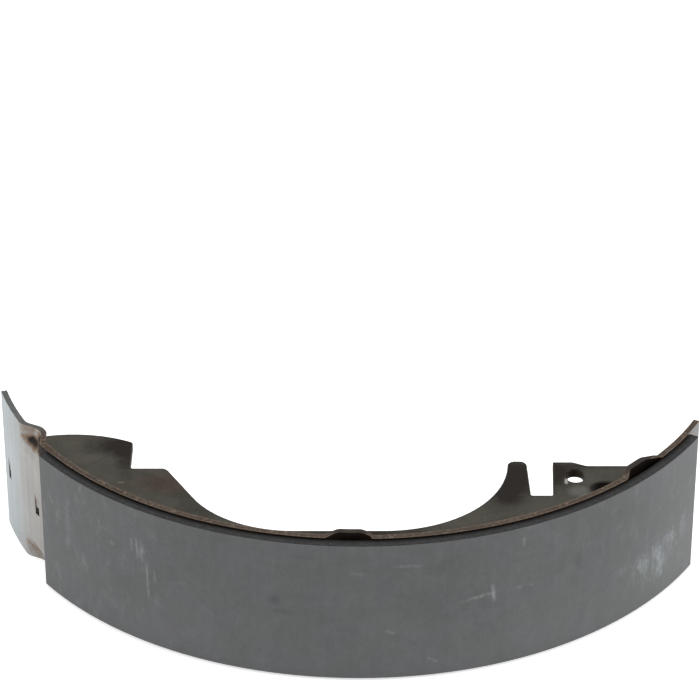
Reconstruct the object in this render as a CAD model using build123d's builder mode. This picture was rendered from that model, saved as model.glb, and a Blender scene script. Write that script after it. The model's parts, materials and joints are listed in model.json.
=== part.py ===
"""Brake shoe for a 254 mm drum: a rolled rim, a stamped web and a bonded friction lining.

The shoe stands on the lower edge of its rim at Z = 0, with the drum axis upright.
The lined side faces -Y. The toe end of the shoe is at -X and the heel end is at +X.
Lengths are millimetres, and X and Y below are counted from the drum axis.
Angles are degrees about the drum axis, counted from +X.
The finished pieces are moved at the end, so that the origin is under the middle of the shoe.
"""

from build123d import *
from math import asin, cos, degrees, pi, radians, sin, sqrt
import os

os.makedirs("parts", exist_ok=True)

# Drum fit and friction lining
drum_radius = 127.0
lining_thickness = 3.2
lining_width = 50.0
lining_toe_angle = -144.2
lining_heel_angle = -29.8
lining_edge_break = 0.3

# Rolled rim
rim_thickness = 2.0
rim_width = 51.4
rim_toe_angle = -163.3
rim_heel_angle = -26.1

# Ledge pads pressed into both edges of the rim
pad_depth = 3.5
pad_reach = 9.5
pad_length = 17.0
heel_pad_length = 20.5
toe_pad_lead = 0.46
middle_pad_lead = 0.30
heel_pad_lead = 0.36
toe_pad_angle = -149.7
middle_pad_angle = -91.4
heel_pad_angle = -42.3
pilot_diameter = 2.6
pilot_from_edge = 7.0

# Nibs half sheared through the rim under the web
nib_angles = (-160.1, -148.4, -131.0, -109.5, -90.0, -73.5, -58.5, -47.2, -38.6, -31.5)
nib_width = 2.6
nib_height = 2.6
nib_stand = 1.5
nib_root_share = 0.25
nib_nose_rise = 0.3
nib_root_drop = 0.6
nib_drag_height = 5.2
nib_drag_depth = 0.35
nib_drag_fall = 0.2

# Stamped web
web_thickness = 3.2
web_edge_break = 0.35
weld_margin = 0.1

# Toe end of the web, a crowned edge that the piston pushes on.
# Every "in" is a distance in X from the rim's toe end, and every "rise" or "drop" one in Y.
toe_corner_in = 6.7
toe_crown_in = 20.4
toe_crown_rise = 11.4
toe_crown_radius = 42.0
toe_corner_radius = 3.0

# Step behind the toe edge
step_in = 40.6
step_floor_drop = 10.1
step_width = 12.0
step_corner_radius = 1.2
ramp_corner_radius = 2.5

# Waist, the narrow middle of the web
waist_depth = 39.2
ramp_foot_x = -43.5
ramp_foot_radius = 38.0

# Heel end of the web, from the angle where its top edge would cross the rim's inner circle.
# Every "back" is a distance in X from that point, and every "rise" or "drop" one in Y.
web_heel_angle = -20.95
web_end_angle = -25.0
heel_cut_back = 8.2
heel_corner_radius = 3.0
block_rise = 2.3
block_top_length = 6.6
block_ramp_length = 4.6

# Finger and strut slot
slot_left_back = 57.2
slot_width = 7.3
slot_flare = 0.9
slot_depth = 20.4
slot_corner_radius = 0.8
finger_side_radius = 41.8
finger_tip_rise = 2.8
finger_width = 6.9
finger_taper = 0.6
finger_tip_radius = 2.4

# Holes in the web
pivot_hole_back = 32.5
pivot_hole_drop = 15.0
pivot_hole_diameter = 10.0
spring_slot_back = 42.0
spring_slot_drop = 6.4
spring_slot_width = 5.4
spring_slot_length = 7.6
toe_slot_in = 36.6
toe_slot_drop = 30.5
toe_slot_width = 5.0
toe_slot_length = 9.6
hold_down_angle = -96.9
hold_down_inset = 20.4
hold_down_width = 7.4
hold_down_spread = 4.6
hold_down_tilt = 35.0

# Notches in the outer edge of the web
deep_notch_angle = -64.0
deep_notch_width = 7.0
deep_notch_depth = 6.5
shallow_notch_angle = -51.6
shallow_notch_width = 9.0
shallow_notch_depth = 4.0

# How far a cutting shape reaches past the metal that it cuts
cut_margin = 1.0

# Sizes that follow from the ones above
rim_outer = drum_radius - lining_thickness
rim_inner = rim_outer - rim_thickness
rim_sweep = rim_heel_angle - rim_toe_angle
web_bottom = (rim_width - web_thickness) / 2
lining_bottom = (rim_width - lining_width) / 2


def outward(angle):
    """Unit vector from the drum axis towards an angle."""
    return Vector(cos(radians(angle)), sin(radians(angle)), 0)


def toeward(angle):
    """Unit vector along the rim at an angle, pointing to the toe end."""
    return Vector(sin(radians(angle)), -cos(radians(angle)), 0)


def station(angle):
    """Plane through the drum axis that cuts the rim across: local x points outward, y up."""
    return Plane(origin=(0, 0, 0), x_dir=outward(angle), z_dir=toeward(angle))


def arc_degrees(length):
    """Angle that a length along the rim's outer face takes up."""
    return degrees(length / rim_outer)


def pad_profile(share, lead):
    """Depth of a pad, from 0 to 1, at a share of its length: a ramp in, a flat and a ramp out."""
    if share < lead:
        return 0.5 - 0.5 * cos(pi * share / lead)
    if share > 1 - lead:
        return 0.5 - 0.5 * cos(pi * (1 - share) / lead)
    return 1.0


def pad_curve(radius, first_angle, last_angle, lead, depth):
    """Outline of one face of the rim across a pad, seen along the drum axis."""
    if depth == 0:
        middle_angle = (first_angle + last_angle) / 2
        return ThreePointArc(
            outward(first_angle) * radius,
            outward(middle_angle) * radius,
            outward(last_angle) * radius,
        )
    points = []
    steps = 10
    for step in range(steps + 1):
        share = step / steps
        angle = first_angle + share * (last_angle - first_angle)
        points.append(outward(angle) * (radius - depth * pad_profile(share, lead)))
    return Spline(*points, tangents=(-toeward(first_angle), -toeward(last_angle)))


pads = (
    (toe_pad_angle, pad_length, toe_pad_lead),
    (middle_pad_angle, pad_length, middle_pad_lead),
    (heel_pad_angle, heel_pad_length, heel_pad_lead),
)
# Each level is a share of the reach, from the rim's edge, and the share of the full depth there.
pad_levels = ((0.0, 1.0), (0.35, 0.80), (0.70, 0.28), (1.0, 0.0))

with BuildPart() as rim:
    with BuildSketch():
        with BuildLine():
            outer_arc = CenterArc((0, 0), rim_outer, rim_toe_angle, rim_sweep)
            inner_arc = CenterArc((0, 0), rim_inner, rim_toe_angle, rim_sweep)
            Line(outer_arc @ 0, inner_arc @ 0)
            Line(outer_arc @ 1, inner_arc @ 1)
        make_face()
    extrude(amount=rim_width)

    for pad_angle, length, lead in pads:
        first_angle = pad_angle - arc_degrees(length) / 2
        last_angle = pad_angle + arc_degrees(length) / 2
        with BuildSketch(Plane.XY, Plane.XY.offset(rim_width - pad_reach)):
            with BuildLine():
                sweep = last_angle - first_angle
                far_side = CenterArc((0, 0), rim_outer + cut_margin, first_angle, sweep)
                near_side = CenterArc((0, 0), rim_inner - cut_margin, first_angle, sweep)
                Line(far_side @ 0, near_side @ 0)
                Line(far_side @ 1, near_side @ 1)
            make_face()
        extrude(amount=pad_reach, mode=Mode.SUBTRACT)
        for edge_height, inward in ((0.0, 1), (rim_width, -1)):
            for reach_share, depth_share in pad_levels:
                level = edge_height + inward * reach_share * pad_reach
                depth = depth_share * pad_depth
                with BuildSketch(Plane.XY.offset(level)):
                    with BuildLine():
                        outside = pad_curve(rim_outer, first_angle, last_angle, lead, depth)
                        inside = pad_curve(rim_inner, first_angle, last_angle, lead, depth)
                        Line(outside @ 0, inside @ 0)
                        Line(outside @ 1, inside @ 1)
                    make_face()
            loft(ruled=True)

    nib_bottom = web_bottom - nib_height
    nib_root = rim_inner + nib_root_share * rim_thickness
    drag_top = web_bottom + nib_drag_height
    for nib_angle in nib_angles:
        # The outer face is dragged in and left open where the nib was sheared.
        with BuildSketch(station(nib_angle)):
            with BuildLine():
                Polyline(
                    (rim_outer, drag_top),
                    (rim_outer - nib_drag_depth, web_bottom),
                    (rim_outer - nib_stand, web_bottom - nib_drag_fall),
                    (rim_outer - nib_stand, nib_bottom),
                    (rim_outer + cut_margin, nib_bottom),
                    (rim_outer + cut_margin, drag_top),
                    close=True,
                )
            make_face()
        extrude(amount=nib_width / 2, both=True, mode=Mode.SUBTRACT)
        # The nib stands out of the inner face, and its flat top carries the web.
        with BuildSketch(station(nib_angle)):
            with BuildLine():
                Polyline(
                    (nib_root, web_bottom),
                    (rim_inner - nib_stand, web_bottom),
                    (rim_inner - nib_stand, nib_bottom + nib_nose_rise),
                    (nib_root, nib_bottom - nib_root_drop),
                    close=True,
                )
            make_face()
        extrude(amount=nib_width / 2, both=True)

    for pilot_height in (pilot_from_edge, rim_width - pilot_from_edge):
        pilot_plane = Plane(
            origin=outward(heel_pad_angle) * rim_outer + Vector(0, 0, pilot_height),
            z_dir=outward(heel_pad_angle),
        )
        with BuildSketch(pilot_plane):
            Circle(pilot_diameter / 2)
        extrude(amount=2 * rim_thickness + pad_depth, both=True, mode=Mode.SUBTRACT)

# Points where the web's edges turn, from the toe end to the heel end
toe_root = outward(rim_toe_angle) * rim_inner
crown_centre = toe_root + Vector(toe_crown_in, toe_crown_rise - toe_crown_radius, 0)


def toe_edge(distance_in):
    """Point on the crowned toe edge of the web, at a distance in from the rim's toe end."""
    across = distance_in - toe_crown_in
    return crown_centre + Vector(across, sqrt(toe_crown_radius**2 - across**2), 0)


step_floor = toe_root + Vector(step_in, -step_floor_drop, 0)
waist_y = waist_depth - rim_inner
heel_root = outward(web_heel_angle) * rim_inner
web_end = outward(web_end_angle) * rim_inner
slot_left_x = heel_root.X - slot_left_back
slot_right_x = slot_left_x + slot_width
block_edge_y = heel_root.Y + block_rise
slot_floor_y = block_edge_y - slot_depth
finger_tip_y = heel_root.Y + finger_tip_rise
finger_side_x = slot_left_x - finger_width - finger_side_radius
finger_side_centre = Vector(finger_side_x, waist_y + finger_side_radius, 0)
finger_side_sweep = 90 + degrees(asin((finger_tip_y - finger_side_centre.Y) / finger_side_radius))
block_left = Vector(slot_right_x + slot_flare, block_edge_y, 0)
block_right = block_left + Vector(block_top_length, 0, 0)
pivot_hole_centre = heel_root - Vector(pivot_hole_back, pivot_hole_drop, 0)
spring_slot_centre = heel_root - Vector(spring_slot_back, spring_slot_drop, 0)
toe_slot_centre = toe_root + Vector(toe_slot_in, -toe_slot_drop, 0)
hold_down_centre = outward(hold_down_angle) * (rim_inner - hold_down_inset)

with BuildPart() as web:
    with BuildSketch(Plane.XY.offset(web_bottom)):
        with BuildLine():
            toe_side = Line(toe_root, toe_edge(toe_corner_in))
            crown = ThreePointArc(toe_side @ 1, toe_edge(toe_crown_in), toe_edge(step_in))
            FilletPolyline(
                crown @ 1,
                step_floor,
                step_floor + Vector(step_width, 0, 0),
                (ramp_foot_x, waist_y),
                (finger_side_centre.X, waist_y),
                radius=[step_corner_radius, ramp_corner_radius, ramp_foot_radius],
            )
            finger_side = CenterArc(
                finger_side_centre, finger_side_radius, -90, finger_side_sweep
            )
            finger = FilletPolyline(
                finger_side @ 1,
                (slot_left_x - finger_taper, finger_tip_y),
                (slot_left_x, slot_floor_y),
                (slot_right_x, slot_floor_y),
                block_left,
                radius=[finger_tip_radius, slot_corner_radius, slot_corner_radius],
            )
            heel = FilletPolyline(
                finger @ 1,
                block_right,
                (block_right.X + block_ramp_length, heel_root.Y),
                (heel_root.X - heel_cut_back, heel_root.Y),
                web_end,
                radius=heel_corner_radius,
            )
            CenterArc((0, 0), rim_inner, rim_toe_angle, web_end_angle - rim_toe_angle)
        make_face()
        for corner, corner_radius in (
            (toe_side @ 1, toe_corner_radius),
            (crown @ 1, step_corner_radius),
            (finger_side @ 1, finger_tip_radius),
        ):
            fillet(vertices().sort_by_distance(corner)[0], corner_radius)
        with Locations(pivot_hole_centre):
            Circle(pivot_hole_diameter / 2, mode=Mode.SUBTRACT)
        with Locations(spring_slot_centre):
            SlotOverall(spring_slot_length, spring_slot_width, rotation=90, mode=Mode.SUBTRACT)
        with Locations(toe_slot_centre):
            SlotOverall(toe_slot_length, toe_slot_width, rotation=90, mode=Mode.SUBTRACT)
        with Locations(hold_down_centre):
            SlotCenterToCenter(
                hold_down_spread, hold_down_width, rotation=hold_down_tilt, mode=Mode.SUBTRACT
            )
        for notch_angle, notch_width, notch_depth in (
            (deep_notch_angle, deep_notch_width, deep_notch_depth),
            (shallow_notch_angle, shallow_notch_width, shallow_notch_depth),
        ):
            notch_centre = outward(notch_angle) * rim_inner
            with Locations(Location(notch_centre, (0, 0, notch_angle))):
                RectangleRounded(2 * notch_depth, notch_width, notch_depth / 2, mode=Mode.SUBTRACT)
    extrude(amount=web_thickness)
    # Only the edges that don't lie against the rim are broken.
    free_edges = []
    for edge in web.faces().filter_by(Axis.Z).edges():
        middle = edge @ 0.5
        if sqrt(middle.X**2 + middle.Y**2) < rim_inner - weld_margin:
            free_edges.append(edge)
    chamfer(free_edges, web_edge_break)

with BuildPart() as friction_lining:
    lining_sweep = lining_heel_angle - lining_toe_angle
    with BuildSketch(Plane.XY.offset(lining_bottom)):
        with BuildLine():
            face_arc = CenterArc((0, 0), drum_radius, lining_toe_angle, lining_sweep)
            bond_arc = CenterArc((0, 0), rim_outer, lining_toe_angle, lining_sweep)
            Line(face_arc @ 0, bond_arc @ 0)
            Line(face_arc @ 1, bond_arc @ 1)
        make_face()
    extrude(amount=lining_width)
    drum_face = friction_lining.faces().filter_by(GeomType.CYLINDER).sort_by(SortBy.AREA)[-1]
    chamfer(drum_face.edges(), lining_edge_break)

# The origin goes to the middle of the shoe's footprint, on the surface that it stands on.
boxes = [piece.part.bounding_box() for piece in (rim, web, friction_lining)]
middle_x = (min(box.min.X for box in boxes) + max(box.max.X for box in boxes)) / 2
middle_y = (min(box.min.Y for box in boxes) + max(box.max.Y for box in boxes)) / 2
for piece in (rim, web, friction_lining):
    piece.part.move(Location((-middle_x, -middle_y, 0)))
print(f"drum axis at x {-middle_x:.3f}, y {-middle_y:.3f}")

rim.part.label = "rim"
web.part.label = "web"
friction_lining.part.label = "friction_lining"
export_step(rim.part, "parts/rim.step")
export_step(web.part, "parts/web.step")
export_step(friction_lining.part, "parts/friction_lining.step")
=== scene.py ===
# %% [markdown]
# A drum brake shoe
#
# A brake shoe is a curved strip of steel, the rim, with a flat steel web standing in its hollow
# side and a block of friction material bonded to its outer side. All three keep the shapes that
# they were built with. This lesson gives each of them the finish of a shoe that has been stored
# for a while: dull bare steel with a little rust, thin brown lacquer, and a ground friction face
# with scuffs. Every finish is made from shader nodes, so it follows the piece from any side.

# %% Load the finished shapes
import json
from math import pi, radians

import bpy
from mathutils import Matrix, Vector

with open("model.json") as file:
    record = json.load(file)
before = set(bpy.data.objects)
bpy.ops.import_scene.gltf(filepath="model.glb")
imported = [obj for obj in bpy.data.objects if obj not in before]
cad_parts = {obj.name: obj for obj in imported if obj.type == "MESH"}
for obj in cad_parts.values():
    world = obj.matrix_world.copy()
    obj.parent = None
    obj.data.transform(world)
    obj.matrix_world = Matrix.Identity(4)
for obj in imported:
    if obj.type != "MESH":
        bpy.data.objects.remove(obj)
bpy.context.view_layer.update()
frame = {"nodes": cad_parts, "record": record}
rim = frame["nodes"]["rim"]
web = frame["nodes"]["web"]
friction_lining = frame["nodes"]["friction_lining"]

# %% [markdown]
# Where the drum's axis is
#
# Rim and lining are rolled round the axis of the drum, which lies outside the shoe. Most of the
# marks on them follow that curve, so the shaders need the axis. It could be typed in, but the
# mount on the lining's face already gives a point of the face, the direction away from the axis
# and the radius, so the axis is worked out from those.

# %% Drum axis
mounts = {mount["name"]: mount for mount in frame["record"]["mounts"]}
drum_mount = mounts["drum_face"]
drum_radius = drum_mount["dims"]["r_mm"]
drum_axis = Vector(drum_mount["pos_m"]) - Vector(drum_mount["axis"]) * drum_radius / 1000
drum_axis.z = 0.0
print("drum axis at", [round(1000 * value, 1) for value in drum_axis[:2]], "mm")

# %% [markdown]
# The camera
#
# The shoe is looked at from the front and from above, at about 30 degrees, with a long lens. A
# long lens from far away keeps both ends of the arc nearly the same size. The camera's place and
# the point that it aims at are both counted from the drum axis, in metres.

# %% Camera
camera_place = Vector((-0.0029, -0.9537, 0.6044))
camera_target = Vector((-0.0029, 0.0792, 0.0))

camera_data = bpy.data.cameras.new("camera")
camera_data.sensor_width = 36.0
camera_data.lens = 166.3
camera_data.clip_start = 0.05
camera_data.clip_end = 20.0
camera = bpy.data.objects.new("camera", camera_data)
bpy.context.scene.collection.objects.link(camera)
camera.location = drum_axis + camera_place
camera_aim = drum_axis + camera_target
camera.rotation_euler = (camera_aim - camera.location).to_track_quat("-Z", "Y").to_euler()
bpy.context.scene.camera = camera
bpy.context.scene.view_settings.view_transform = "Standard"
print("camera is", round((camera_aim - camera.location).length, 3), "m from its aim")

# %% [markdown]
# Colours as they look on a screen
#
# A picture program shows a colour as three numbers from 0 to 255. Shaders work with linear light
# instead, where half the number means half the light. The helper turns one into the other with
# the standard curve for screens, so that every colour below can be written as it looks.

# %% Screen colours


def screen(red, green, blue):
    """Linear colour of a screen colour given from 0 to 255."""
    shares = [value / 255 for value in (red, green, blue)]
    return tuple(s / 12.92 if s <= 0.04045 else ((s + 0.055) / 1.055) ** 2.4 for s in shares)


print("a mid grey of 128 is", round(screen(128, 128, 128)[0], 3), "in linear light")

# %% [markdown]
# A bench for node trees
#
# Every finish below is a tree of shader nodes. They could be placed and joined by hand in the
# shader editor, or one by one in code, which takes several lines each time. A small helper is
# shorter: a number, a colour or another node's output can feed an input in one call, and sums
# and products read like sums and products.

# %% Node bench


class Bench:
    """A node tree on the bench: places nodes in it and joins them."""

    def __init__(self, tree):
        self.tree = tree

    def feed(self, socket, source):
        """Join a socket to an output, or give it a fixed value."""
        if isinstance(source, bpy.types.NodeSocket):
            self.tree.links.new(source, socket)
        elif socket.type == "RGBA":
            socket.default_value = (*source[:3], 1)
        else:
            socket.default_value = source

    def put(self, kind, sources=(), **settings):
        """New node, with (socket, source) pairs for its inputs."""
        node = self.tree.nodes.new("ShaderNode" + kind)
        for name, value in settings.items():
            setattr(node, name, value)
        for socket, source in sources:
            self.feed(node.inputs[socket], source)
        return node

    def math(self, operation, *sources):
        """Sum, product and the like of numbers."""
        return self.put("Math", enumerate(sources), operation=operation).outputs[0]

    def add(self, *sources):
        """Sum of any count of numbers."""
        total = sources[0]
        for source in sources[1:]:
            total = self.math("ADD", total, source)
        return total

    def times(self, *sources):
        """Product of any count of numbers."""
        total = sources[0]
        for source in sources[1:]:
            total = self.math("MULTIPLY", total, source)
        return total

    def other(self, mask):
        """One minus a mask."""
        return self.math("SUBTRACT", 1.0, mask)

    def vector(self, operation, *sources, measure=False):
        """Vector of an operation on vectors, or its number when a measure is asked for."""
        node = self.put("VectorMath", enumerate(sources), operation=operation)
        return node.outputs["Value" if measure else "Vector"]

    def shade(self, color, amount):
        """Colour or vector times an amount, where 1 leaves it as it is."""
        node = self.put("VectorMath", [(0, color), ("Scale", amount)], operation="SCALE")
        return node.outputs["Vector"]


print("the bench does:", [name for name in vars(Bench) if not name.startswith("_")])

# %% [markdown]
# Masks and blends
#
# A mask is a number from 0 to 1 that says where a colour shows. A finish is made by laying
# colours over each other through masks, as a painter lays one coat over another. This second
# bench adds what that needs: a soft step, two kinds of blend, noise and the shared effects.

# %% Finish bench


class FinishBench(Bench):
    """A bench that also makes masks, blends, noise and shared effects."""

    def rise(self, value, low, high):
        """Mask that rises smoothly from 0 to 1 while the value goes from low to high."""
        sources = [("Value", value), ("From Min", low), ("From Max", high)]
        return self.put("MapRange", sources, interpolation_type="SMOOTHSTEP").outputs["Result"]

    def blend(self, mask, first, second):
        """Second colour over the first one, as far as the mask says."""
        node = self.put("Mix", [(0, mask), (6, first), (7, second)], data_type="RGBA")
        return node.outputs[2]

    def blend_value(self, mask, first, second):
        """Second number over the first one, as far as the mask says."""
        node = self.put("Mix", [(0, mask), (2, first), (3, second)], data_type="FLOAT")
        return node.outputs[0]

    def noise(self, vector, scale, detail=4.0, roughness=0.55, twist=0.0):
        """Soft random number from 0 to 1, wispy when twisted."""
        sources = [
            ("Vector", vector),
            ("Scale", scale),
            ("Detail", detail),
            ("Roughness", roughness),
            ("Distortion", twist),
        ]
        return self.put("TexNoise", sources).outputs[0]

    def around_zero(self, value, contrast):
        """Number from 0 to 1 turned into a change from minus the contrast to the contrast."""
        return self.times(self.add(value, -0.5), contrast, 2.0)

    def use(self, group, **sources):
        """One of the shared effects, with its named inputs."""
        node = self.put("Group", node_tree=group)
        for name, source in sources.items():
            self.feed(node.inputs[name], source)
        return node.outputs


print("the finish bench adds:", [name for name in vars(FinishBench) if not name.startswith("_")])

# %% [markdown]
# Shared effects
#
# The same few effects come back in every finish: where a point lies on the shoe, clouds of tone,
# streaks from edge to edge, grains, patches, scratches and worn edges. Copying their nodes into
# each material would work, but a node group is built once, has named inputs and outputs, and is
# mended in one place. Lengths in all of them are millimetres.

# %% Group helper


def new_group(name, inputs, outputs):
    """Node group with named sockets, and the bench it is built on."""
    group = bpy.data.node_groups.new(name, "ShaderNodeTree")
    for socket_name, kind, value in inputs:
        socket = group.interface.new_socket(
            socket_name, in_out="INPUT", socket_type="NodeSocket" + kind
        )
        socket.default_value = value
    for socket_name, kind in outputs:
        group.interface.new_socket(
            socket_name, in_out="OUTPUT", socket_type="NodeSocket" + kind
        )
    taken = group.nodes.new("NodeGroupInput").outputs
    given = group.nodes.new("NodeGroupOutput").inputs
    return group, FinishBench(group), taken, given


origin = (0.0, 0.0, 0.0)
print("groups so far:", len(bpy.data.node_groups))

# %% [markdown]
# The place on the shoe
#
# This group measures a point from the drum axis: its radius, its angle in degrees counted from
# the heel side, its height, and how far along the curve it lies. It also says whether the surface
# looks outward to the drum or inward, and whether it looks up or down. A UV map could unroll the
# curve too, but these measures need none and are in millimetres on every piece.

# %% Place on the shoe
place_on_shoe, bench, taken, given = new_group(
    "place_on_shoe",
    [],
    [
        ("Place", "Vector"),
        ("Arc", "Vector"),
        ("Radius", "Float"),
        ("Angle", "Float"),
        ("Height", "Float"),
        ("Outward", "Float"),
        ("Upright", "Float"),
    ],
)
object_place = bench.put("TexCoord").outputs["Object"]
from_axis = bench.vector("SUBTRACT", object_place, tuple(drum_axis))
in_mm = bench.shade(from_axis, 1000.0)
flat = bench.vector("MULTIPLY", in_mm, (1.0, 1.0, 0.0))
radius = bench.vector("LENGTH", flat, measure=True)
parts = bench.put("SeparateXYZ", [(0, in_mm)]).outputs
turn = bench.math("ARCTAN2", parts[1], parts[0])
arc = bench.put(
    "CombineXYZ", [(0, bench.times(turn, drum_radius)), (1, parts[2]), (2, radius)]
).outputs[0]
true_normal = bench.put("NewGeometry").outputs["True Normal"]
away = bench.vector("NORMALIZE", flat)
outward = bench.vector("DOT_PRODUCT", true_normal, away, measure=True)
upright = bench.put("SeparateXYZ", [(0, true_normal)]).outputs[2]
for name, source in (
    ("Place", in_mm),
    ("Arc", arc),
    ("Radius", radius),
    ("Angle", bench.times(turn, 180 / pi)),
    ("Height", parts[2]),
    ("Outward", outward),
    ("Upright", upright),
):
    bench.feed(given[name], source)
print("group:", place_on_shoe.name)

# %% [markdown]
# Clouds, streaks and grains
#
# Steel, lacquer and friction material are never one even tone. Clouds are soft spots made by
# noise. Streaks are the same noise pulled long from one edge of the shoe to the other, as a
# roller or a grinding wheel leaves them. Grains are the cells of a Voronoi texture, each with a
# tone of its own, because noise alone looks too soft for grit. All three give a change around
# zero, which is added to 1 before a colour is multiplied by it.

# %% Clouds of tone
clouds, bench, taken, given = new_group(
    "clouds",
    [("Vector", "Vector", origin), ("Size", "Float", 10.0), ("Contrast", "Float", 0.2)],
    [("Value", "Float")],
)
cloud = bench.noise(taken["Vector"], bench.math("DIVIDE", 1.0, taken["Size"]), 5.0, 0.6)
bench.feed(given["Value"], bench.around_zero(cloud, taken["Contrast"]))
print("group:", clouds.name)

# %% Streaks from edge to edge
streaks, bench, taken, given = new_group(
    "streaks",
    [
        ("Arc", "Vector", origin),
        ("Width", "Float", 1.0),
        ("Length", "Float", 10.0),
        ("Contrast", "Float", 0.2),
    ],
    [("Value", "Float")],
)
stretch = bench.put(
    "CombineXYZ",
    [
        (0, bench.math("DIVIDE", 1.0, taken["Width"])),
        (1, bench.math("DIVIDE", 1.0, taken["Length"])),
        (2, 0.2),
    ],
).outputs[0]
streak = bench.noise(bench.vector("MULTIPLY", taken["Arc"], stretch), 1.0, 3.0, 0.5)
bench.feed(given["Value"], bench.around_zero(streak, taken["Contrast"]))
print("group:", streaks.name)

# %% Grains
grains, bench, taken, given = new_group(
    "grains",
    [("Vector", "Vector", origin), ("Size", "Float", 0.5), ("Contrast", "Float", 0.2)],
    [("Value", "Float"), ("Height", "Float")],
)
cells = bench.put(
    "TexVoronoi",
    [("Vector", taken["Vector"]), ("Scale", bench.math("DIVIDE", 1.0, taken["Size"]))],
)
cell_tone = bench.put("SeparateXYZ", [(0, cells.outputs["Color"])]).outputs[0]
bench.feed(given["Value"], bench.around_zero(cell_tone, taken["Contrast"]))
bench.feed(given["Height"], bench.other(cells.outputs["Distance"]))
print("group:", grains.name)

# %% [markdown]
# Patches and scratches
#
# A patch is an oval area with a ragged rim, for worn lacquer, rust, smudges and painted shade. A
# scratch is a thin line between two points that thins out at both ends and breaks up along its
# length. Both could be painted on an image, but as nodes they stay sharp however near the camera
# comes. They work in whatever plane their points are given in: the flat web, or the unrolled
# curve.

# %% Patch
patch, bench, taken, given = new_group(
    "patch",
    [
        ("Vector", "Vector", origin),
        ("Middle", "Vector", origin),
        ("Reach", "Vector", (1, 1, 1)),
        ("Softness", "Float", 0.5),
        ("Raggedness", "Float", 0.5),
        ("Grit", "Float", 2.0),
    ],
    [("Mask", "Float")],
)
in_plane = (1.0, 1.0, 0.0)
offset = bench.vector("SUBTRACT", taken["Vector"], taken["Middle"])
offset = bench.vector("MULTIPLY", offset, in_plane)
share = bench.vector("LENGTH", bench.vector("DIVIDE", offset, taken["Reach"]), measure=True)
ragged = bench.noise(taken["Vector"], bench.math("DIVIDE", 1.0, taken["Grit"]), 5.0, 0.65)
share = bench.add(share, bench.around_zero(ragged, taken["Raggedness"]))
patch_mask = bench.other(bench.rise(share, bench.other(taken["Softness"]), 1.0))
bench.feed(given["Mask"], patch_mask)
print("group:", patch.name)

# %% Scratch
scratch, bench, taken, given = new_group(
    "scratch",
    [
        ("Vector", "Vector", origin),
        ("Start", "Vector", origin),
        ("End", "Vector", (1, 0, 0)),
        ("Width", "Float", 0.5),
    ],
    [("Mask", "Float")],
)
from_start = bench.vector("SUBTRACT", taken["Vector"], taken["Start"])
from_start = bench.vector("MULTIPLY", from_start, in_plane)
line = bench.vector("SUBTRACT", taken["End"], taken["Start"])
along = bench.math(
    "DIVIDE",
    bench.vector("DOT_PRODUCT", from_start, line, measure=True),
    bench.vector("DOT_PRODUCT", line, line, measure=True),
)
along = bench.math("MINIMUM", bench.math("MAXIMUM", along, 0.0), 1.0)
aside = bench.vector("SUBTRACT", from_start, bench.shade(line, along))
distance = bench.vector("LENGTH", aside, measure=True)
taper = bench.times(4.0, along, bench.other(along))
broken = bench.rise(bench.noise(taken["Vector"], 0.7, 4.0, 0.6), 0.30, 0.58)
thin = bench.other(bench.rise(distance, 0.0, taken["Width"]))
bench.feed(given["Mask"], bench.times(thin, bench.math("SQRT", taper), broken))
print("group:", scratch.name)

# %% [markdown]
# Worn edges, painted highlights and painted shade
#
# Paint wears off first where two faces meet. The Bevel node bends the normal near such an edge,
# so the angle between the bent and the true normal shows how near the edge is. This finds every
# edge of a piece without marking any of them. Noise breaks the line up, as real wear does. The
# same mask also paints a highlight along the rim's cut edges and shade along the web's edges.

# %% Edge nearness
edge_nearness, bench, taken, given = new_group(
    "edge_nearness",
    [("Vector", "Vector", origin), ("Width", "Float", 1.0), ("Raggedness", "Float", 0.5)],
    [("Mask", "Float")],
)
bevel_radius = bench.times(taken["Width"], 0.001)
bent = bench.put("Bevel", [("Radius", bevel_radius)], samples=6).outputs[0]
straight = bench.put("NewGeometry").outputs["True Normal"]
likeness = bench.vector("DOT_PRODUCT", bent, straight, measure=True)
nearness = bench.rise(bench.other(likeness), 0.004, 0.16)
breaks = bench.around_zero(bench.noise(taken["Vector"], 0.8, 4.0, 0.6), taken["Raggedness"])
bench.feed(given["Mask"], bench.rise(bench.add(nearness, breaks), 0.15, 0.75))
print("group:", edge_nearness.name)

# %% [markdown]
# Thin lacquer
#
# The steel was dipped in a thin varnish that ran before it dried. Where it is thin, olive grey
# steel shows through, and where it gathered it is dark brown. A clear coat over a steel colour
# could give the same, but two tones mixed by an uneven amount are simpler and hold in any
# program. The group gives the colour, and the amount too, because a thick coat is glossier.

# %% Lacquer
lacquer, bench, taken, given = new_group(
    "lacquer",
    [
        ("Vector", "Vector", origin),
        ("Amount", "Float", 0.5),
        ("Thin", "Color", (*screen(74, 72, 63), 1)),
        ("Thick", "Color", (*screen(24, 15, 8), 1)),
    ],
    [("Color", "Color"), ("Coat", "Float")],
)
wide = bench.use(clouds, Vector=taken["Vector"], Size=9.0, Contrast=0.5)["Value"]
fine = bench.use(clouds, Vector=taken["Vector"], Size=1.3, Contrast=0.38)["Value"]
speck = bench.use(grains, Vector=taken["Vector"], Size=0.4, Contrast=0.11)["Value"]
coat = bench.add(taken["Amount"], wide, fine)
coat = bench.math("MINIMUM", bench.math("MAXIMUM", coat, 0.0), 1.0)
tone = bench.blend(coat, taken["Thin"], taken["Thick"])
bench.feed(given["Color"], bench.shade(tone, bench.add(1.0, speck, bench.times(fine, 0.5))))
bench.feed(given["Coat"], coat)
print("group:", lacquer.name)
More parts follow.
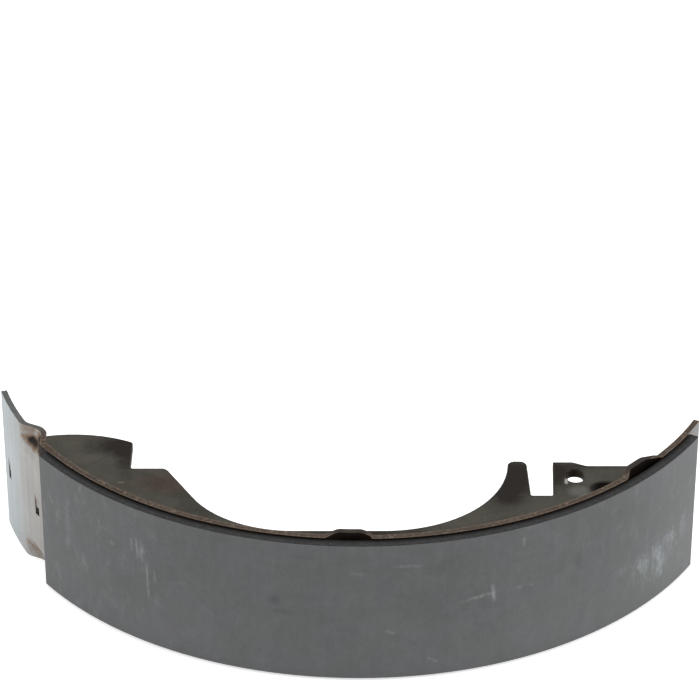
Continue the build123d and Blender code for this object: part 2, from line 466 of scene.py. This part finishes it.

# %% [markdown]
# Rust and painted shade
#
# Rust comes in two tones: a pale tan bloom at its border and a deep brown where it is thick. The
# group turns one amount into both, so a stain always has a soft tan border. Two separate
# patches, one for each tone, would not line up. On the rim the deep brown also serves as painted
# shade in the toe pad's hollow.

# %% Rust and painted shade
rust, bench, taken, given = new_group(
    "rust",
    [
        ("Vector", "Vector", origin),
        ("Amount", "Float", 0.0),
        ("Under", "Color", (0.3, 0.3, 0.3, 1)),
    ],
    [("Color", "Color"), ("Mask", "Float")],
)
bloom_tone = screen(138, 120, 104)
deep_tone = screen(28, 17, 9)
uneven = bench.use(clouds, Vector=taken["Vector"], Size=2.2, Contrast=0.35)["Value"]
pits = bench.use(grains, Vector=taken["Vector"], Size=0.4, Contrast=0.18)
uneven = bench.times(uneven, bench.rise(taken["Amount"], 0.0, 0.3))
amount = bench.add(taken["Amount"], uneven)
bloom = bench.rise(amount, 0.04, 0.5)
deep = bench.rise(amount, 0.40, 1.15)
tone = bench.blend(deep, bloom_tone, deep_tone)
tone = bench.shade(tone, bench.add(1.0, pits["Value"]))
bench.feed(given["Color"], bench.blend(bloom, taken["Under"], tone))
bench.feed(given["Mask"], bloom)
print("group:", rust.name)

# %% [markdown]
# A new finish
#
# Each piece gets one material with one Principled shader. Separate materials for the faces of a
# piece would need its faces sorted, and would meet in hard lines. One material with masks lets
# the finishes run into each other at the corners, as lacquer does.

# %% Finish helper


def new_finish(name, piece):
    """Material on a piece, its bench, its shader and the place group's outputs."""
    finish = bpy.data.materials.new(name)
    finish.use_nodes = True
    piece.material_slots[0].material = finish
    finish_bench = FinishBench(finish.node_tree)
    shader = finish.node_tree.nodes["Principled BSDF"]
    return finish_bench, shader, finish_bench.use(place_on_shoe)


def bump(finish_bench, shader, height):
    """Raise the surface by a height in millimetres."""
    node = finish_bench.put("Bump", [("Strength", 1.0), ("Distance", 0.001), ("Height", height)])
    finish_bench.feed(shader.inputs["Normal"], node.outputs["Normal"])


print("one slot each:", [len(piece.material_slots) for piece in (rim, web, friction_lining)])

# %% [markdown]
# Marks at their places
#
# Marks on the rim and the lining are placed by their angle round the drum axis and their height.
# The heel end of the lining is at -30 degrees, its middle near -88 and its toe end at -146. Marks
# on the web are placed by x and y from the drum axis. A mark also has a half width and a half
# height in millimetres.

# %% Mark helpers
toe_angle = -146.0
heel_angle = -30.0


def on_arc(angle, height):
    """Point of the unrolled curve for an angle about the axis in degrees and a height."""
    return (radians(angle) * drum_radius, height, 0.0)


def oval(finish_bench, vector, middle, half_sizes, softness, raggedness, grit):
    """Mask of one patch with its middle, its half width and height, and its border."""
    return finish_bench.use(
        patch,
        Vector=vector,
        Middle=middle,
        Reach=(*half_sizes, 1.0),
        Softness=softness,
        Raggedness=raggedness,
        Grit=grit,
    )["Mask"]


arc_length = radians(heel_angle - toe_angle) * drum_radius
print("the lining is", round(arc_length), "mm long round its face")

# %% [markdown]
# The friction lining
#
# Friction material is a baked mix of fibres, grit and resin. Its face is ground to the drum's
# radius, which leaves it an even dull grey with faint marks across, a few pale scratches and
# darker blots. The other sides are sawn: darker, rougher and grainy. Face and sides are told
# apart by the radius, because only the face reaches the drum. The face's tone is one grey times
# a sum of small changes, from clouds as wide as a thumb down to single grains. It is also made a
# little paler low down and towards the heel end. That is painted light: the floor's bounce below
# and the side lamp at the heel end.

# %% Lining: tones of the face
bench, shader, place = new_finish("ground_friction_material", friction_lining)
arc = place["Arc"]
face_mask = bench.rise(place["Radius"], drum_radius - 0.26, drum_radius - 0.08)
wide_clouds = bench.use(clouds, Vector=arc, Size=26.0, Contrast=0.16)["Value"]
small_clouds = bench.use(clouds, Vector=arc, Size=5.0, Contrast=0.26)["Value"]
long_streaks = bench.use(streaks, Arc=arc, Width=2.4, Length=30.0, Contrast=0.06)["Value"]
short_streaks = bench.use(streaks, Arc=arc, Width=0.9, Length=7.0, Contrast=0.07)["Value"]
grit = bench.use(grains, Vector=place["Place"], Size=0.45, Contrast=0.05)
# Painted light: the face is paler low down for the floor's bounce, and paler towards the heel end
# for the side lamp there.
painted_floor_light = bench.times(bench.other(bench.rise(place["Height"], 0.0, 32.0)), 0.20)
painted_heel_light = bench.times(bench.rise(place["Angle"], -56.0, heel_angle), 0.24)
cloud_tone = bench.add(1.0, wide_clouds, small_clouds)
streak_tone = bench.add(cloud_tone, long_streaks, short_streaks)
face_tone = bench.add(streak_tone, grit["Value"], painted_floor_light, painted_heel_light)
tint_mask = bench.rise(bench.noise(arc, 0.07, 3.0, 0.5), 0.42, 0.58)
face_color = bench.blend(tint_mask, screen(92, 95, 93), screen(94, 95, 97))
face_color = bench.shade(face_color, face_tone)
print("the face starts", drum_radius, "mm from the axis")

# %% [markdown]
# Pale wisps
#
# Dust from grinding stays on the face in thin pale wisps, mostly near both ends. Noise with much
# detail, a little twist and twice the height gives them, and only its peaks are kept.

# %% Lining: pale wisps
tall_wisps = bench.vector("MULTIPLY", arc, (1.0, 0.5, 0.0))
wisps = bench.rise(bench.noise(tall_wisps, 0.25, 6.0, 0.66, twist=0.4), 0.50, 0.78)
toe_part = bench.other(bench.rise(place["Angle"], -140.0, -108.0))
heel_part = bench.rise(place["Angle"], -62.0, -38.0)
wisp_strength = bench.add(0.07, bench.times(toe_part, 0.26), bench.times(heel_part, 0.16))
wisp_mask = bench.times(wisps, wisp_strength)
face_color = bench.blend(wisp_mask, face_color, screen(150, 156, 160))
print("wisps fade from -140 to -108 degrees and come back from -62 to -38")

# %% [markdown]
# Blots and smudges
#
# A blot is a spot that has soaked up something and is darker. A smudge is a pale rub with flecks
# in it, and the largest lies near the heel end. Each has a place of its own, because a few marks
# in the right places make a surface more real than many even ones.

# %% Lining: blots
blots = [
    # angle, height, half width, half height, strength
    (-102.0, 29.0, 3.2, 2.6, 0.20),
    (-101.0, 25.0, 4.0, 1.6, 0.16),
    (-56.8, 32.0, 2.0, 7.0, 0.14),
    (-78.0, 41.0, 9.0, 4.0, 0.10),
]
for angle, height, half_width, half_height, strength in blots:
    middle = on_arc(angle, height)
    half_sizes = (half_width, half_height)
    blot = oval(bench, arc, middle, half_sizes, softness=0.8, raggedness=0.5, grit=2.5)
    face_color = bench.shade(face_color, bench.other(bench.times(blot, strength)))
print("blots:", len(blots))

# %% Lining: smudges
smudge_color = screen(168, 176, 180)
smudges = [
    # angle, height, half width, half height, strength
    (-40.2, 17.0, 15.0, 10.0, 0.20),
    (-39.9, 13.8, 3.4, 7.0, 0.50),
    (-43.9, 17.4, 3.6, 5.5, 0.38),
    (-40.6, 20.4, 3.0, 4.0, 0.34),
    (-37.0, 19.8, 4.0, 5.0, 0.34),
    (-33.6, 21.6, 3.0, 7.0, 0.24),
    (-48.0, 20.0, 5.0, 2.6, 0.16),
    (-122.8, 36.0, 3.0, 3.2, 0.30),
    (-128.0, 34.0, 1.2, 1.2, 0.30),
    (-137.5, 33.0, 2.0, 9.0, 0.14),
]
tall_flecks = bench.vector("MULTIPLY", arc, (0.55, 0.2, 0.0))
flecks = bench.rise(bench.noise(tall_flecks, 1.0, 5.0, 0.6), 0.30, 0.68)
for angle, height, half_width, half_height, strength in smudges:
    middle = on_arc(angle, height)
    half_sizes = (half_width, half_height)
    smudge = oval(bench, arc, middle, half_sizes, softness=0.7, raggedness=0.9, grit=1.3)
    smudge_mask = bench.times(smudge, flecks, strength)
    face_color = bench.blend(smudge_mask, face_color, smudge_color)
print("smudges:", len(smudges))

# %% [markdown]
# Scratches
#
# Handling leaves short pale scratches. Most run up and down the face, and a few faint ones lie
# nearly level. Noise can't be told where a scratch starts, so each is given by its two ends.

# %% Lining: scratches
scratch_color = screen(168, 172, 174)
scratch_strength = 0.8
scratch_lines = [
    # from angle, height, to angle, height, width, strength
    (-123.6, 40.0, -123.4, 32.0, 0.8, 0.42),
    (-124.5, 39.4, -124.4, 34.0, 0.7, 0.32),
    (-122.8, 37.0, -122.6, 31.0, 0.8, 0.38),
    (-121.9, 32.0, -121.7, 17.6, 0.8, 0.40),
    (-120.6, 30.0, -120.5, 25.0, 0.8, 0.30),
    (-130.6, 42.0, -130.4, 36.0, 0.8, 0.22),
    (-70.9, 32.0, -70.6, 26.4, 1.0, 0.48),
    (-70.7, 29.6, -70.6, 25.0, 1.1, 0.34),
    (-76.0, 27.2, -70.6, 28.6, 1.2, 0.22),
    (-74.0, 28.0, -70.8, 28.6, 0.8, 0.24),
    (-67.2, 28.6, -66.2, 28.5, 1.1, 0.24),
    (-65.2, 28.3, -64.4, 28.2, 0.9, 0.30),
    (-80.4, 7.8, -78.8, 5.4, 0.9, 0.40),
    (-86.4, 19.0, -84.8, 17.6, 0.9, 0.30),
    (-85.3, 43.0, -81.2, 42.5, 0.9, 0.26),
    (-91.5, 40.6, -88.4, 40.2, 0.9, 0.16),
    (-66.2, 47.4, -66.2, 43.4, 0.8, 0.32),
    (-39.4, 12.6, -39.2, 7.4, 0.9, 0.35),
]
for line in scratch_lines:
    start_angle, start_height, end_angle, end_height, width, strength = line
    mark = bench.use(
        scratch,
        Vector=arc,
        Start=on_arc(start_angle, start_height),
        End=on_arc(end_angle, end_height),
        Width=width,
    )["Mask"]
    mark_mask = bench.times(mark, strength, scratch_strength)
    face_color = bench.blend(mark_mask, face_color, scratch_color)
print("scratches:", len(scratch_lines))

# %% [markdown]
# The sawn sides of the lining
#
# The sides are nearly black, because the saw doesn't polish them, and they are darker still,
# almost black, in the band next to the rim. Coarse grains stand out of them. The grains could be
# real bumps in the mesh, but at under a millimetre the Bump node is enough.

# %% Lining: sides and shader
side_grains = bench.use(grains, Vector=place["Place"], Size=0.7, Contrast=0.35)
side_clouds = bench.use(clouds, Vector=arc, Size=3.0, Contrast=0.35)["Value"]
side_color = bench.shade(screen(44, 44, 44), bench.add(1.0, side_grains["Value"], side_clouds))
# The sides turn almost black in the band next to the rim.
rim_side_band = bench.other(bench.rise(place["Radius"], drum_radius - 2.9, drum_radius - 1.4))
side_color = bench.blend(bench.times(rim_side_band, 0.9), side_color, screen(11, 10, 8))
bench.feed(shader.inputs["Base Color"], bench.blend(face_mask, side_color, face_color))
face_roughness = bench.add(0.62, bench.times(small_clouds, 0.6), bench.times(short_streaks, 0.5))
bench.feed(shader.inputs["Roughness"], bench.blend_value(face_mask, 0.9, face_roughness))
face_height = bench.add(
    bench.times(grit["Height"], 0.012),
    bench.times(short_streaks, 0.05),
    bench.times(small_clouds, 0.03),
)
side_height = bench.times(side_grains["Height"], 0.09)
bump(bench, shader, bench.blend_value(face_mask, side_height, face_height))
shader.inputs["Specular IOR Level"].default_value = 0.4
print("finish:", friction_lining.material_slots[0].material.name)

# %% [markdown]
# The rim
#
# The rim has two faces and two cut edges, which are told apart by the way the surface looks.
# Outside, the ends beyond the lining are bare steel, pale and dull, with soft streaks from edge
# to edge, a cooler bluish tone at the tip that is a painted sheen, and rust round the pressed
# pads, whose deep brown in the toe pad's hollow is partly rust and partly painted shade. A stain
# is several patches that overlap, and the strongest one counts at each point, so that they join
# without a seam.

# %% Rim: bare outside
bench, shader, place = new_finish("rolled_rim_steel", rim)
arc = place["Arc"]
steel_clouds = bench.use(clouds, Vector=arc, Size=12.0, Contrast=0.16)["Value"]
steel_mottle = bench.use(clouds, Vector=arc, Size=1.8, Contrast=0.12)["Value"]
steel_streaks = bench.use(streaks, Arc=arc, Width=2.4, Length=60.0, Contrast=0.20)["Value"]
steel_grain = bench.use(grains, Vector=place["Place"], Size=0.3, Contrast=0.06)
steel_tone = bench.add(1.0, steel_clouds, steel_mottle, steel_streaks, steel_grain["Value"])
# Painted sheen: the tip is a cooler, bluish grey that stands in for a reflection on the bare
# steel.
sheen_to_warm = bench.rise(place["Angle"], -160.0, -150.0)
steel_color = bench.blend(sheen_to_warm, screen(160, 167, 170), screen(154, 152, 149))
steel_color = bench.shade(steel_color, steel_tone)
print("bare steel turns warmer from -160 to -150 degrees")

# %% Rim: rust and painted pad shade outside
rust_and_shade_amount = 0.0
# The first three stains lie in the toe pad's hollow. Their deep brown is partly rust and partly
# painted shade.
rust_and_shade_stains = [
    # angle, height, half width, half height, strength
    (-146.6, 48.9, 10.5, 5.2, 2.20),
    (-150.2, 47.0, 9.0, 3.4, 1.20),
    (-144.8, 50.0, 5.5, 6.0, 2.60),
    (-151.6, 51.0, 10.0, 6.0, 0.32),
    (-151.0, 4.6, 10.0, 6.5, 0.38),
    (-160.1, 26.0, 4.0, 4.0, 0.22),
    (-148.6, 27.0, 4.0, 5.0, 0.26),
    (-147.4, 26.0, 3.5, 6.0, 0.10),
    (-145.6, 40.0, 2.6, 10.0, 0.10),
]
for angle, height, half_width, half_height, strength in rust_and_shade_stains:
    middle = on_arc(angle, height)
    half_sizes = (half_width, half_height)
    rust_shade_patch = oval(bench, arc, middle, half_sizes, softness=1.0, raggedness=0.25, grit=2.2)
    rust_and_shade_amount = bench.math("MAXIMUM", rust_and_shade_amount, bench.times(rust_shade_patch, strength))
rusted = bench.use(rust, Vector=place["Place"], Amount=rust_and_shade_amount, Under=steel_color)
print("rust stains:", len(rust_and_shade_stains))

# %% [markdown]
# The film under the lining
#
# Where the lining covers it, the outer face keeps a dark film. It shows only in the pads, which
# are pressed inward and leave a hollow behind the lining, and there its very dark brown is partly
# the film and partly painted shade of that hollow.

# %% Rim: film and painted shade under the lining
toe_bare = bench.other(bench.rise(place["Angle"], toe_angle - 0.2, toe_angle + 1.0))
heel_bare = bench.times(bench.rise(place["Angle"], heel_angle - 0.6, heel_angle), 0.6)
open_steel = bench.math("MAXIMUM", toe_bare, heel_bare)
# Painted shade: the very dark film in the pads also stands in for the shade of their hollow
# behind the lining.
film_and_hollow_shade = bench.use(
    lacquer, Vector=place["Place"], Amount=0.9, Thin=screen(50, 36, 27), Thick=screen(17, 11, 8)
)
outside_color = bench.blend(open_steel, film_and_hollow_shade["Color"], rusted["Color"])
print("the film covers the outer face between the lining's ends")

# %% [markdown]
# The inside and the cut edges of the rim
#
# Inside, the rim has the same thin lacquer as the web, in larger clouds and thicker towards the
# heel end. Its cut edges are brown, and darkest in the pads, where the dark is partly thicker
# lacquer and partly painted shade of the pads' hollows. A paler line runs along their corners,
# partly worn steel and partly a painted highlight, with flecks where they rub, and they are plain
# grey at the toe end. The pads are where the edge is nearer to the drum axis.

# %% Rim: lacquered inside
cloud_scale = 0.4
towards_heel = bench.rise(place["Angle"], -150.0, -55.0)
inside = bench.use(
    lacquer,
    Vector=bench.shade(place["Place"], cloud_scale),
    Amount=bench.blend_value(towards_heel, 0.35, 0.85),
    Thin=screen(88, 77, 58),
    Thick=screen(36, 26, 20),
)
outside_mask = bench.rise(place["Outward"], -0.1, 0.1)
rim_color = bench.blend(outside_mask, inside["Color"], outside_color)
print("lacquer clouds inside are", 1 / cloud_scale, "times as large as on the web")

# %% Rim: cut edges
cut_mask = bench.rise(bench.math("ABSOLUTE", place["Upright"]), 0.6, 0.9)
# The paler line along the corners of the cut edges is partly wear and partly a painted highlight.
wear_and_highlight = bench.use(edge_nearness, Vector=place["Place"], Width=0.5, Raggedness=0.5)["Mask"]
# In the pads the edges are darker: partly thicker lacquer and partly painted shade of their
# hollows.
unpressed = bench.rise(place["Radius"], 120.6, 121.7)
past_toe_pad = bench.rise(place["Angle"], -140.0, -130.0)
shaded_pads = bench.times(bench.other(unpressed), past_toe_pad)
edge_brown = bench.use(
    lacquer,
    Vector=place["Place"],
    Amount=bench.blend_value(shaded_pads, 0.5, 0.95),
    Thin=screen(84, 68, 55),
    Thick=screen(30, 21, 15),
)
wear_and_highlight = bench.times(wear_and_highlight, bench.blend_value(shaded_pads, 0.9, 0.25))
edge_flecks = bench.rise(bench.noise(place["Place"], 0.9, 5.0, 0.7), 0.50, 0.66)
edge_flecks = bench.times(edge_flecks, bench.blend_value(shaded_pads, 0.5, 0.1))
wear_and_highlight = bench.math("MAXIMUM", wear_and_highlight, edge_flecks)
cut_color = bench.blend(wear_and_highlight, edge_brown["Color"], screen(134, 118, 100))
toe_end = bench.other(bench.rise(place["Angle"], -154.0, toe_angle))
toe_grey = bench.shade(screen(88, 91, 89), bench.add(1.0, bench.times(steel_mottle, 4.0)))
cut_color = bench.blend(bench.times(toe_end, 0.9), cut_color, toe_grey)
rim_color = bench.blend(cut_mask, rim_color, cut_color)
print("cut edges turn grey from", toe_angle, "to -154 degrees")

# %% [markdown]
# The rim's gloss
#
# Only bare steel without rust reflects as metal. Lacquer is smoother where it is thick, and rust
# is the roughest. The reflections are kept weak, because old lacquer and dull steel have lost
# most of their shine.

# %% Rim: shader
bench.feed(shader.inputs["Base Color"], rim_color)
rust_free = bench.other(rusted["Mask"])
bare = bench.times(outside_mask, open_steel, rust_free, bench.other(cut_mask))
bench.feed(shader.inputs["Metallic"], bench.times(bare, 0.55))
bare_roughness = bench.add(0.46, bench.times(steel_mottle, 0.7))
smoother_coat = bench.times(inside["Coat"], -0.12)
rougher_rust = bench.times(rusted["Mask"], 0.3)
dull_roughness = bench.add(0.5, smoother_coat, rougher_rust)
bench.feed(shader.inputs["Roughness"], bench.blend_value(bare, dull_roughness, bare_roughness))
rust_lumps = bench.noise(place["Place"], 2.2, 5.0, 0.7)
rim_height = bench.add(
    bench.times(steel_grain["Height"], 0.006),
    bench.times(steel_mottle, 0.08),
    bench.times(rust_lumps, bench.times(rusted["Mask"], 0.07)),
)
bump(bench, shader, rim_height)
shader.inputs["Specular IOR Level"].default_value = 0.25
print("finish:", rim.material_slots[0].material.name)

# %% [markdown]
# The web
#
# The web is punched from flat sheet, so its faces are smooth and its cut sides are rough. The
# lacquer ran towards the finger, the step and the other free edges, where it dried dark brown.
# One noise over the whole web would put the dark areas anywhere, so each area is a wide soft
# patch at its own place, and together they add up to the amount of lacquer. Near every edge,
# also where the web meets the rim, more brown is added as painted shade.

# %% Web: where the lacquer gathered, and painted edge shade
bench, shader, place = new_finish("lacquered_web_steel", web)
flat_place = place["Place"]
lacquer_and_shade_amount = 0.16
brown_areas = [
    # x and y from the drum axis, half sizes, strength
    (-82.0, -31.0, 15.0, 10.0, 0.75),
    (-77.5, -38.0, 6.0, 18.0, 0.85),
    (-66.0, -53.0, 13.0, 10.0, 0.50),
    (-57.0, -62.0, 9.0, 12.0, 0.35),
    (-50.0, -72.0, 14.0, 10.0, 0.30),
    (51.0, -52.0, 12.0, 20.0, 1.20),
    (46.0, -66.0, 9.0, 9.0, 0.45),
    (62.0, -48.0, 9.0, 13.0, 0.90),
    (67.0, -51.0, 8.0, 13.0, 0.55),
    (73.0, -44.0, 9.0, 5.0, 0.55),
    (84.0, -43.5, 16.0, 4.0, 0.35),
    (79.0, -62.0, 9.0, 7.0, 0.12),
    (0.0, -84.0, 40.0, 9.0, 0.60),
    (-108.0, -32.0, 8.0, 10.0, 0.25),
]
for middle_x, middle_y, half_x, half_y, strength in brown_areas:
    middle = (middle_x, middle_y, 0.0)
    half_sizes = (half_x, half_y)
    gathered = oval(
        bench, flat_place, middle, half_sizes, softness=0.95, raggedness=0.22, grit=5.0
    )
    lacquer_and_shade_amount = bench.add(lacquer_and_shade_amount, bench.times(gathered, strength))
# Painted shade: a darker band along every edge of the web and in its corner with the rim.
edge_shade = bench.use(edge_nearness, Vector=flat_place, Width=2.2, Raggedness=0.25)["Mask"]
lacquer_and_shade_amount = bench.add(lacquer_and_shade_amount, bench.times(edge_shade, 0.35))
film_and_edge_shade = bench.use(lacquer, Vector=flat_place, Amount=lacquer_and_shade_amount)
web_color = film_and_edge_shade["Color"]
print("brown areas:", len(brown_areas))

# %% [markdown]
# Rubbed places on the web
#
# The lacquer is thin or gone where other parts rubbed on it, most of all between the two holes at
# the heel end, where small chips show bare steel. These patches are small and ragged, and each
# has its own colour: pale grey for steel, olive or brown where some lacquer is left.

# %% Web: rubbed places and chips
rubbed_places = [
    # x and y from the drum axis, half sizes, strength, colour
    (72.6, -59.5, 5.2, 4.6, 0.55, screen(112, 110, 106)),
    (76.0, -62.5, 4.0, 3.0, 0.35, screen(112, 110, 106)),
    (68.6, -53.4, 0.9, 2.2, 0.80, screen(176, 174, 166)),
    (76.7, -58.6, 0.8, 1.3, 0.60, screen(160, 158, 152)),
    (-78.7, -54.0, 1.8, 0.9, 0.40, screen(128, 120, 98)),
    (-92.0, -40.0, 9.0, 6.0, 0.16, screen(104, 100, 90)),
    (-64.0, -55.0, 15.0, 9.0, 0.20, screen(98, 78, 62)),
    (33.0, -83.5, 6.0, 2.2, 0.22, screen(116, 108, 90)),
]
for middle_x, middle_y, half_x, half_y, strength, color in rubbed_places:
    middle = (middle_x, middle_y, 0.0)
    half_sizes = (half_x, half_y)
    spot = oval(
        bench, flat_place, middle, half_sizes, softness=0.75, raggedness=0.55, grit=1.2
    )
    web_color = bench.blend(bench.times(spot, strength), web_color, color)
print("rubbed places:", len(rubbed_places))

# %% [markdown]
# The web's cut sides and gloss
#
# The press leaves the cut sides rough, so the lacquer on them is duller and a little redder. They
# are found by which way they look, because only the two flat faces look straight up or down.

# %% Web: cut sides and shader
cut_side = bench.other(bench.rise(bench.math("ABSOLUTE", place["Upright"]), 0.3, 0.9))
side_film = bench.use(
    lacquer, Vector=flat_place, Amount=0.7, Thin=screen(70, 60, 48), Thick=screen(28, 22, 18)
)
web_color = bench.blend(cut_side, web_color, side_film["Color"])
bench.feed(shader.inputs["Base Color"], web_color)
web_roughness = bench.add(0.52, bench.times(film_and_edge_shade["Coat"], -0.14))
bench.feed(shader.inputs["Roughness"], bench.blend_value(cut_side, web_roughness, 0.62))
shader.inputs["Specular IOR Level"].default_value = 0.15
roller_marks = bench.use(clouds, Vector=flat_place, Size=2.0, Contrast=0.5)["Value"]
sheet_grain = bench.use(grains, Vector=flat_place, Size=0.3, Contrast=0.1)["Height"]
web_height = bench.add(bench.times(roller_marks, 0.03), bench.times(sheet_grain, 0.006))
bump(bench, shader, web_height)
print("finish:", web.material_slots[0].material.name)

# %% [markdown]
# The floor
#
# The floor is plain and pale. It could be lit until it is white, but that much light would bleach
# the shoe too. So it glows a little for the camera and in reflections only, which makes it white
# there, and its plain paint still takes the shoe's soft shadow.

# %% Floor
floor_reach = 4.0
floor_mesh = bpy.data.meshes.new("floor")
floor_mesh.from_pydata(
    [
        (-floor_reach, -floor_reach, 0),
        (floor_reach, -floor_reach, 0),
        (floor_reach, floor_reach, 0),
        (-floor_reach, floor_reach, 0),
    ],
    [],
    [(0, 1, 2, 3)],
)
floor = bpy.data.objects.new("floor", floor_mesh)
bpy.context.scene.collection.objects.link(floor)
print("the floor is", 2 * floor_reach, "m wide")

# %% Floor paint
white = (1, 1, 1)
floor_paint = bpy.data.materials.new("floor_paint")
floor_paint.use_nodes = True
floor_paint.node_tree.nodes.clear()
bench = FinishBench(floor_paint.node_tree)
floor_diffuse = bench.put("BsdfDiffuse", [("Color", screen(231, 231, 231))])
ray = bench.put("LightPath").outputs
seen = bench.math("MAXIMUM", ray["Is Camera Ray"], ray["Is Glossy Ray"])
seen = bench.math("MAXIMUM", seen, ray["Is Transmission Ray"])
floor_glow = bench.put("Emission", [("Color", white), ("Strength", bench.times(seen, 0.6))])
floor_sum = bench.put("AddShader", [(0, floor_diffuse.outputs[0]), (1, floor_glow.outputs[0])])
bench.put("OutputMaterial", [("Surface", floor_sum.outputs[0])])
floor.data.materials.append(floor_paint)
print("finish:", floor_paint.name)

# %% [markdown]
# The light
#
# The sky is an even soft light, as in a white room. It is white for the camera and weaker for
# everything else. Three large soft lamps stand in for studio boxes: one above and behind for the
# upper edges, and one on each side, which give the two ends of the curved face their lighter
# tone. One strong lamp would be simpler, but it would draw hard shadows of the rim on the web.

# %% Sky
sky = bpy.data.worlds.new("sky")
bpy.context.scene.world = sky
sky.use_nodes = True
sky.node_tree.nodes.clear()
bench = FinishBench(sky.node_tree)
ray = bench.put("LightPath").outputs
sky_level = bench.blend_value(ray["Is Camera Ray"], 0.55, 1.0)
sky_light = bench.put("Background", [("Color", white), ("Strength", sky_level)])
bench.put("OutputWorld", [("Surface", sky_light.outputs[0])])
print("sky:", sky.name)

# %% Lamps


def soft_lamp(name, place, size, power):
    """Square area lamp at a place in metres that points at the middle of the shoe."""
    lamp_data = bpy.data.lights.new(name, "AREA")
    lamp_data.shape = "SQUARE"
    lamp_data.size = size
    lamp_data.energy = power
    lamp = bpy.data.objects.new(name, lamp_data)
    bpy.context.scene.collection.objects.link(lamp)
    lamp.location = place
    lamp.rotation_euler = (-Vector(place)).to_track_quat("-Z", "Y").to_euler()
    return lamp


lamps = [
    soft_lamp("lamp_top", (0.0, 0.5, 1.5), 1.2, 9),
    soft_lamp("lamp_left", (-1.5, -0.3, 0.8), 1.0, 8),
    soft_lamp("lamp_right", (1.5, -0.3, 0.8), 1.0, 12),
]
print("lamps:", [lamp.name for lamp in lamps])

# %% [markdown]
